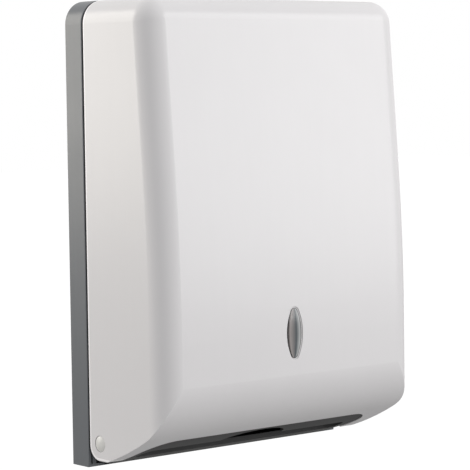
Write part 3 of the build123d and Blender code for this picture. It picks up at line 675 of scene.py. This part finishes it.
def make_finishes() -> Finishes:
    """Build every finish from its real material and process.

    Returns:
        All the finishes.
    """
    # ABS from a finely polished tool: a broad soft sheen and hardly any grain.  The orange peel of the real
    # tool is finer than a pixel, so its ripple is drawn some 16 mm wide.  Its outer edges and the parting
    # line beside the tray get a painted highlight, and its joints a painted shade.
    cover_low, cover_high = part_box("front_cover")
    cover = MouldedPlastic(
        name="abs_white_satin_moulded", colour="#DDDBDC", roughness=0.30, ior=1.53,
        grain=1.4, grain_depth=0.0004, ripple=16.0, ripple_depth=0.004,
        drift=0.006, streak=0.003, edge_radius=0.5, edge_highlight=0.34, painted_shade=0.6, painted_shade_reach=3.0,
        sheen_spread=0.008, parting_width=2.0, parting_reach=HEEL_RADIUS - PARTING_INSET,
        parting_heel=(cover_high.y / MM - HEEL_RADIUS, cover_low.z / MM + HEEL_RADIUS),
    )
    # ABS from a spark-eroded tool: an even matt grey.  The spark grain is a fifth of a millimetre and is
    # drawn 1.1 mm wide so that it can be seen.  A deep painted shade darkens its joints, such as the lip in
    # the gap under the cover's edge, and its edges get a faint painted highlight.
    tray = MouldedPlastic(
        name="abs_grey_spark_eroded", colour="#66696D", roughness=0.34, ior=1.56,
        grain=1.1, grain_depth=0.003, ripple=22.0, ripple_depth=0.008,
        drift=0.02, streak=0.015, edge_radius=0.3, edge_highlight=0.12, painted_shade=0.9, painted_shade_reach=6.0,
    )
    # A darker copy of the tray's grey ABS: the charcoal colour is painted shade for the slot under the chin,
    # and a painted shade reaching far into the slot darkens it further.  Its deeper spark texture traps
    # light, so that the slot reads as one dark band under the white chin.
    throat = MouldedPlastic(
        name="abs_grey_spark_eroded_painted_shade", colour="#363636", roughness=0.55, ior=1.53,
        grain=1.1, grain_depth=0.003, ripple=22.0, ripple_depth=0.008,
        drift=0.02, streak=0.015, edge_radius=0.3, edge_highlight=0.12, painted_shade=0.9, painted_shade_reach=12.0,
        specular=0.3,
    )
    # Acetal: slippery, slightly waxy white that lets a little light in.  A painted shade darkens it round
    # the rim of the head, and its edges get a faint painted highlight.
    pin = MouldedPlastic(
        name="acetal_white_moulded", colour="#D9D8D5", roughness=0.33, ior=1.48,
        grain=1.0, grain_depth=0.001, ripple=4.0, ripple_depth=0.003,
        drift=0.01, streak=0.0, edge_radius=0.25, edge_highlight=0.04, painted_shade=0.6, painted_shade_reach=1.5, scatter=0.15,
    )
    # Unfilled nylon: warm, milky and a little see-through at the rim.  Its hollows get a light painted shade
    # and its edges a faint painted highlight.
    nylon = MouldedPlastic(
        name="nylon_natural_moulded", colour="#DAD6C8", roughness=0.42, ior=1.53,
        grain=0.8, grain_depth=0.001, ripple=3.0, ripple_depth=0.002,
        drift=0.02, streak=0.0, edge_radius=0.15, edge_highlight=0.03, painted_shade=0.3, painted_shade_reach=1.0, scatter=0.35,
    )
    # Acrylic with a smoke dye: the room and the dark inside show through a grey haze.  Over it, from rim to
    # rim, runs painted light and shade: a dark edge, a pale shoulder, the deep middle, a pale shoulder that
    # is nearly a white highlight, and a dark edge.
    lens_low, lens_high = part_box("window_lens")
    lens = SmokeClear(
        name="acrylic_smoke_moulded", clearness=0.3, roughness=0.10, ior=1.49,
        ripple=5.0, ripple_depth=0.004, half_width=LENS_HALF_WIDTH, half_height=LENS_HALF_HEIGHT,
        middle=(lens_low.z + lens_high.z) / 2 / MM,
        painted_tones=(
            (0.08, "#3C3839"), (0.20, "#B8B1AF"), (0.63, "#5F666A"), (0.91, "#D2D4D4"), (1.0, "#505050"),
        ),
    )
    # Steel, bright zinc plated: cool grey with small crystals, each a shade lighter or darker.
    zinc = PlatedMetal(
        name="steel_bright_zinc_plated", colour="#C3C6CA", roughness=0.30, roughness_spread=0.06,
        scuff=4.4, spangle=1.1, spangle_light=0.06, ripple=2.5, ripple_depth=0.003, edge_radius=0.12,
    )
    # Zinc casting, chromium plated and polished: a bright blue-white mirror with a faint polishing wave.
    chrome = PlatedMetal(
        name="zinc_casting_chromium_plated", colour="#D3D6DB", roughness=0.10, roughness_spread=0.03,
        scuff=2.8, spangle=0.7, spangle_light=0.015, ripple=6.0, ripple_depth=0.004, edge_radius=0.15,
    )
    return Finishes(
        cover=cover.material(),
        tray=tray.material(),
        throat=throat.material(),
        pin=pin.material(),
        nylon=nylon.material(),
        lens=lens.material(),
        zinc=zinc.material(),
        chrome=chrome.material(),
    )


# ---- mesh helpers -------------------------------------------------------------------------------
def dress(material: bpy.types.Material, *nodes: str) -> None:
    """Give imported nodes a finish.

    Args:
        material: The finish.
        nodes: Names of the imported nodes.
    """
    for node in nodes:
        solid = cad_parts[node]
        for slot in solid.material_slots:
            slot.material = material
        LOG.info("dressed %s with %s", node, material.name)


def make_piece(
    name: str,
    mesh: bmesh.types.BMesh,
    material: bpy.types.Material,
    body: Body,
    replaced: tuple[str, ...] = (),
) -> bpy.types.Object:
    """Turn a finished bmesh into a piece that rides on a body.

    Args:
        name: The piece's name.
        mesh: The bmesh, in place; it is freed.
        material: The piece's finish.
        body: The body that carries the piece.
        replaced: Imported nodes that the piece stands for.

    Returns:
        The new object.
    """
    bmesh.ops.remove_doubles(mesh, verts=mesh.verts, dist=MERGE_DISTANCE)
    bmesh.ops.recalc_face_normals(mesh, faces=mesh.faces)
    data = bpy.data.meshes.new(name)
    mesh.to_mesh(data)
    mesh.free()
    data.materials.append(material)
    data.shade_smooth()
    data.set_sharp_from_angle(angle=CREASE_ANGLE)
    piece = bpy.data.objects.new(name, data)
    bpy.context.scene.collection.objects.link(piece)
    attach(piece, body.value)
    if replaced:
        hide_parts(*replaced)
    LOG.info("built %s with %d faces on %s", name, len(data.polygons), body.value)
    return piece


def push_cap(
    mesh: bmesh.types.BMesh, cap: bmesh.types.BMFace, move: Vector, scale: Vector, middle: Vector
) -> bmesh.types.BMFace:
    """Extrude a cap face, move it and scale it about a point.

    A first, lone face stays behind and closes the bottom; any later cap is taken out.

    Args:
        mesh: The bmesh that holds the cap.
        cap: The face to extrude.
        move: How far the new cap moves.
        scale: Scale of the new cap along each axis.
        middle: The point that it is scaled about.

    Returns:
        The new cap.
    """
    closes_the_bottom = all(len(edge.link_faces) == 1 for edge in cap.edges)
    grown = bmesh.ops.extrude_face_region(mesh, geom=[cap])["geom"]
    if not closes_the_bottom:
        bmesh.ops.delete(mesh, geom=[cap], context="FACES_ONLY")
    corners = [item for item in grown if isinstance(item, bmesh.types.BMVert)]
    bmesh.ops.scale(mesh, vec=scale, space=Matrix.Translation(-middle), verts=corners)
    bmesh.ops.translate(mesh, vec=move, verts=corners)
    return next(item for item in grown if isinstance(item, bmesh.types.BMFace))


# ---- sub-assemblies -----------------------------------------------------------------------------
@dataclass
class WallUnit:
    """The tray on the wall with its throat plate, towel guides, lock catch and fasteners."""

    finishes: Finishes

    def build(self) -> None:
        """Dress the wall unit's solids."""
        dress(self.finishes.tray, "back_tray", "towel_guide_left", "towel_guide_right")
        dress(self.finishes.throat, "throat_plate")
        dress(self.finishes.zinc, "throat_screws", "guide_screws", "lock_catch", "catch_screws")
        dress(self.finishes.nylon, "hinge_washer_left", "hinge_washer_right")


@dataclass
class Cover:
    """The white cover with the clips that hold its hinge pins."""

    finishes: Finishes

    def build(self) -> None:
        """Dress the cover and the clips."""
        dress(self.finishes.cover, "front_cover")
        dress(self.finishes.zinc, "hinge_clip_left", "hinge_clip_right")


@dataclass
class HingePin:
    """A hinge pin of the cover: shank, clip groove and a domed head that fills its recess.

    Sizes are in millimetres.
    """

    finishes: Finishes
    side: Side
    shank_radius: float = 3.0
    end_chamfer: float = 0.5
    end_length: float = 1.6
    groove_width: float = 0.8
    groove_depth: float = 0.7
    head_radius: float = 6.85
    head_depth: float = 2.0
    head_wall: float = 0.45
    segments: int = 64
    rings: int = 12

    def build(self) -> None:
        """Build the pin from its inner end to the top of its dome."""
        side = self.side.name.lower()
        low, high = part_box(f"hinge_pin_{side}")
        middle = (low + high) / 2
        inner_end = high.x if self.side is Side.LEFT else low.x
        place = Vector((inner_end, middle.y, middle.z))
        outward = Vector((self.side.value, 0, 0))
        radius = self.shank_radius - self.end_chamfer
        mesh = bmesh.new()
        bmesh.ops.create_circle(
            mesh, cap_ends=True, segments=self.segments, radius=radius * MM,
            matrix=Matrix.Translation(place) @ Matrix.Rotation(math.pi / 2, 4, "Y"),
        )
        cap = mesh.faces[:][0]
        for advance, next_radius in self._profile((high.x - low.x) / MM):
            widen = next_radius / radius
            cap = push_cap(mesh, cap, outward * advance * MM, Vector((1, widen, widen)), place)
            radius = next_radius
        make_piece(
            f"domed_hinge_pin_{side}", mesh, self.finishes.pin, Body.COVER,
            replaced=(f"hinge_pin_{side}",),
        )

    def _profile(self, length: float) -> list[tuple[float, float]]:
        """List the steps outwards along the pin.

        Args:
            length: The whole pin's length.

        Returns:
            How far each step goes, and the radius that it ends with.
        """
        groove_radius = self.shank_radius - self.groove_depth
        to_head = length - self.end_length - self.groove_width - self.head_depth
        dome = self.head_depth - self.head_wall
        steps = [
            (self.end_chamfer, self.shank_radius),
            (self.end_length - self.end_chamfer, self.shank_radius),
            (0.0, groove_radius),
            (self.groove_width, groove_radius),
            (0.0, self.shank_radius),
            (to_head, self.shank_radius),
            (0.0, self.head_radius),
            (self.head_wall, self.head_radius),
        ]
        share = 1.0
        for ring in range(1, self.rings + 1):
            reach = math.cos(ring / self.rings * math.pi / 2)
            steps.append((dome * (share ** 2 - reach ** 2), self.head_radius * reach))
            share = reach
        return steps


@dataclass
class SightWindow:
    """The sight window: a crowned smoke lens clamped by a ring inside the cover.

    Sizes are in millimetres.
    """

    finishes: Finishes
    half_height: float = LENS_HALF_HEIGHT
    half_width: float = LENS_HALF_WIDTH
    tip_radius: float = 4.15
    flange: float = 3.8
    plug_depth: float = 1.5
    edge_round: float = 0.25
    crown: float = 0.6
    side_steps: int = 48
    tip_steps: int = 20
    rings: int = 9

    def build(self) -> None:
        """Build the lens and dress the ring that clamps it."""
        self._lens()
        dress(self.finishes.tray, "window_frame")
        dress(self.finishes.zinc, "window_screws")

    def _lens(self) -> None:
        """Build the crowned lens with its flange, from the flat back to the middle of its face."""
        low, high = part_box("window_lens")
        middle = (low + high) / 2
        back = Vector((middle.x, high.y, middle.z))
        mesh, cap = self._window_face(back)
        to_front = Vector((0, -1, 0))
        same_size = Vector((1, 1, 1))
        flange_depth = (high.y - low.y) - self.plug_depth * MM
        cap = push_cap(mesh, cap, to_front * flange_depth, same_size, back)
        bmesh.ops.inset_region(mesh, faces=[cap], thickness=self.flange * MM, use_even_offset=True)
        cap = push_cap(mesh, cap, to_front * (self.plug_depth - self.edge_round) * MM, same_size, back)
        bmesh.ops.inset_region(mesh, faces=[cap], thickness=self.edge_round * MM, use_even_offset=True)
        bmesh.ops.translate(mesh, vec=to_front * self.edge_round * MM, verts=cap.verts[:])
        share = 1.0
        for ring in range(1, self.rings + 1):
            reach = math.cos(ring / (self.rings + 1) * math.pi / 2)
            rise = self.crown * MM * (share ** 2 - reach ** 2)
            step = Vector((reach / share, 1, reach / share))
            cap = push_cap(mesh, cap, to_front * rise, step, back)
            share = reach
        make_piece(
            "sight_lens", mesh, self.finishes.lens, Body.COVER, replaced=("window_lens",)
        )

    def _window_face(self, place: Vector) -> tuple[bmesh.types.BMesh, bmesh.types.BMFace]:
        """Draw the flange's outline, two long side arcs and two rounded tips, as a face towards -Y.

        Args:
            place: The middle of the face.

        Returns:
            The bmesh and the face.
        """
        half_width = self.half_width + self.flange
        tip_radius = self.tip_radius + self.flange
        tip_height = self.half_height - self.tip_radius
        squares = half_width ** 2 + tip_height ** 2 - tip_radius ** 2
        side_radius = squares / (2 * (half_width - tip_radius))
        side_centre = side_radius - half_width
        angle = math.atan2(tip_height, side_centre)
        mesh = bmesh.new()
        start = Vector((side_radius * math.cos(angle) - side_centre, 0, -side_radius * math.sin(angle))) * MM
        end = bmesh.ops.create_vert(mesh, co=start)["vert"]
        for centre, turn, steps in (
            (Vector((-side_centre, 0, 0)), 2 * angle, self.side_steps),
            (Vector((0, 0, tip_height)), math.pi - 2 * angle, self.tip_steps),
            (Vector((side_centre, 0, 0)), 2 * angle, self.side_steps),
            (Vector((0, 0, -tip_height)), math.pi - 2 * angle, self.tip_steps),
        ):
            end = bmesh.ops.spin(
                mesh, geom=end, cent=centre * MM, axis=(0, -1, 0), angle=turn, steps=steps
            )["geom_last"]
        bmesh.ops.remove_doubles(mesh, verts=mesh.verts, dist=MERGE_DISTANCE)
        face = bmesh.ops.contextual_create(mesh, geom=mesh.edges[:])["faces"][0]
        bmesh.ops.translate(mesh, vec=place, verts=mesh.verts)
        face.normal_update()
        if face.normal.y > 0:
            bmesh.ops.reverse_faces(mesh, faces=[face])
        return mesh, face


@dataclass
class KeyLock:
    """The quarter-turn key lock in the cover's top."""

    finishes: Finishes

    def build(self) -> None:
        """Dress the lock's solids."""
        dress(self.finishes.chrome, "lock_housing", "lock_plug")
        dress(self.finishes.zinc, "lock_washer", "lock_nut", "lock_cam", "lock_cam_screw")


# ---- studio -------------------------------------------------------------------------------------
@dataclass(frozen=True)
class SoftBox:
    """Rectangular soft light that faces the dispenser, sized in metres.

    Its direction is the X and Y of the way to it from the dispenser, and low and high are its edges.
    """

    name: str
    direction: tuple[float, float]
    distance: float
    width: float
    low: float
    high: float
    radiance: float
    tint: tuple[float, float, float]

    def build(self) -> None:
        """Make the lamp, with the power that gives its radiance."""
        height = self.high - self.low
        lamp = bpy.data.lights.new(self.name, "AREA")
        lamp.color = self.tint
        lamp.shape = "RECTANGLE"
        lamp.size = self.width
        lamp.size_y = height
        lamp.energy = self.radiance * math.pi * self.width * height
        place = Vector((*self.direction, 0)).normalized() * self.distance
        place.z = (self.low + self.high) / 2
        stand = bpy.data.objects.new(self.name, lamp)
        stand.location = place
        stand.rotation_euler = place.to_track_quat("Z", "Y").to_euler()
        bpy.context.scene.collection.objects.link(stand)
        LOG.info("placed lamp %s, %.1f W", self.name, lamp.energy)


@dataclass
class Studio:
    """Camera, soft lights, pale surroundings and the floor.

    Sizes are in metres and degrees, and the camera's lens is in millimetres.
    """

    azimuth: float = -39.81
    elevation: float = 3.97
    roll: float = -0.76
    lens: float = 158.98
    distance: float = 1.793
    target: tuple[float, float, float] = (-0.0075, -0.060, -0.0051)
    floor_height: float = -1.3
    floor_size: float = 60.0
    floor_dull: float = 0.40
    floor_shade: float = 0.35
    floor_glow: float = 0.75
    ambient_horizon: float = 0.84
    ambient_top: float = 0.85
    lights: tuple[SoftBox, ...] = (
        SoftBox(
            name="softbox_rear_left", direction=(-0.62, 0.78), distance=1.6,
            width=0.8, low=-0.11, high=1.10, radiance=3.7, tint=(1.0, 0.96, 0.88),
        ),
        SoftBox(
            name="softbox_front_right", direction=(0.62, -0.78), distance=1.6,
            width=0.8, low=-0.20, high=1.06, radiance=3.4, tint=(1.0, 1.0, 1.0),
        ),
    )

    def build(self) -> None:
        """Set up the whole studio."""
        self._camera()
        for light in self.lights:
            light.build()
        self._world()
        self._floor()
        bpy.context.scene.view_settings.view_transform = "Standard"

    def _camera(self) -> None:
        """Set a long lens at the front left, slightly above."""
        turn, tilt = math.radians(self.azimuth), math.radians(self.elevation)
        back = Vector((
            math.sin(turn) * math.cos(tilt), -math.cos(turn) * math.cos(tilt), math.sin(tilt)
        ))
        data = bpy.data.cameras.new("camera")
        data.lens = self.lens
        camera = bpy.data.objects.new("camera", data)
        place = Matrix.Translation(Vector(self.target) + back * self.distance)
        aim = back.to_track_quat("Z", "Y").to_matrix().to_4x4()
        camera.matrix_world = place @ aim @ Matrix.Rotation(math.radians(self.roll), 4, "Z")
        bpy.context.scene.collection.objects.link(camera)
        bpy.context.scene.camera = camera

    def _seen(self, tree: Tree) -> Socket:
        """Find the rays that show the surroundings to the eye, directly or through a window.

        Args:
            tree: The node tree of the world or the floor.

        Returns:
            One for such a ray, zero for any other.
        """
        path = add_node(tree, "ShaderNodeLightPath")
        either = add_node(
            tree,
            "ShaderNodeMath",
            {"operation": "MAXIMUM"},
            {0: path.outputs["Is Camera Ray"], 1: path.outputs["Is Transmission Ray"]},
        )
        return either.outputs["Value"]

    def _world(self) -> None:
        """Surround the dispenser with white for the eye and an even, soft light for its surfaces."""
        world = bpy.data.worlds.new("pale_room")
        world.use_nodes = True
        tree = world.node_tree
        tree.nodes.clear()
        place = add_node(tree, "ShaderNodeTexCoord")
        split = add_node(tree, "ShaderNodeSeparateXYZ", None, {"Vector": place.outputs["Generated"]})
        ambient = add_node(
            tree,
            "ShaderNodeMapRange",
            {"To Min": self.ambient_horizon, "To Max": self.ambient_top},
            {"Value": split.outputs["Z"]},
        )
        neutral = add_node(
            tree,
            "ShaderNodeCombineXYZ",
            None,
            {axis: ambient.outputs["Result"] for axis in ("X", "Y", "Z")},
        )
        colour = add_node(
            tree,
            "ShaderNodeMix",
            {"data_type": "RGBA", MIX_SECOND: grey(1.0)},
            {0: self._seen(tree), MIX_FIRST: neutral.outputs["Vector"]},
        )
        light = add_node(
            tree, "ShaderNodeBackground", {"Strength": 1.0}, {"Color": colour.outputs[MIX_RESULT]}
        )
        add_node(tree, "ShaderNodeOutputWorld", None, {"Surface": light.outputs["Background"]})
        bpy.context.scene.world = world

    def _floor(self) -> None:
        """Lay a pale floor that keeps the dispenser's shadow and is open when seen from below."""
        mesh = bmesh.new()
        place = Matrix.Translation((0, 0, self.floor_height))
        bmesh.ops.create_grid(mesh, x_segments=1, y_segments=1, size=self.floor_size / 2, matrix=place)
        data = bpy.data.meshes.new("floor")
        mesh.to_mesh(data)
        mesh.free()
        data.materials.append(self._floor_finish())
        floor = bpy.data.objects.new("floor", data)
        bpy.context.scene.collection.objects.link(floor)

    def _floor_finish(self) -> bpy.types.Material:
        """Build the floor's finish: pale to the eye, dull as a reflector, clear from below.

        Returns:
            The material.
        """
        material, tree = new_material("floor_pale_matt")
        dull = add_node(tree, "ShaderNodeBsdfDiffuse", {"Color": grey(self.floor_dull)})
        shade = add_node(tree, "ShaderNodeBsdfDiffuse", {"Color": grey(self.floor_shade)})
        glow = add_node(tree, "ShaderNodeEmission", {"Strength": self.floor_glow})
        pale = add_node(
            tree, "ShaderNodeAddShader", None, {0: shade.outputs["BSDF"], 1: glow.outputs["Emission"]}
        )
        top = add_node(
            tree,
            "ShaderNodeMixShader",
            None,
            {0: self._seen(tree), 1: dull.outputs["BSDF"], 2: pale.outputs["Shader"]},
        )
        clear = add_node(tree, "ShaderNodeBsdfTransparent")
        side = add_node(tree, "ShaderNodeNewGeometry")
        surface = add_node(
            tree,
            "ShaderNodeMixShader",
            None,
            {0: side.outputs["Backfacing"], 1: top.outputs["Shader"], 2: clear.outputs["BSDF"]},
        )
        add_node(tree, "ShaderNodeOutputMaterial", None, {"Surface": surface.outputs["Shader"]})
        return material


def main() -> None:
    """Build the dispenser's pieces and the studio."""
    logging.basicConfig(level=logging.INFO, format="%(name)s: %(message)s")
    finishes = make_finishes()
    pins = [HingePin(finishes, side) for side in Side]
    for assembly in (
        WallUnit(finishes), Cover(finishes), *pins, SightWindow(finishes), KeyLock(finishes), Studio()
    ):
        assembly.build()


if __name__ == "__main__":
    main()
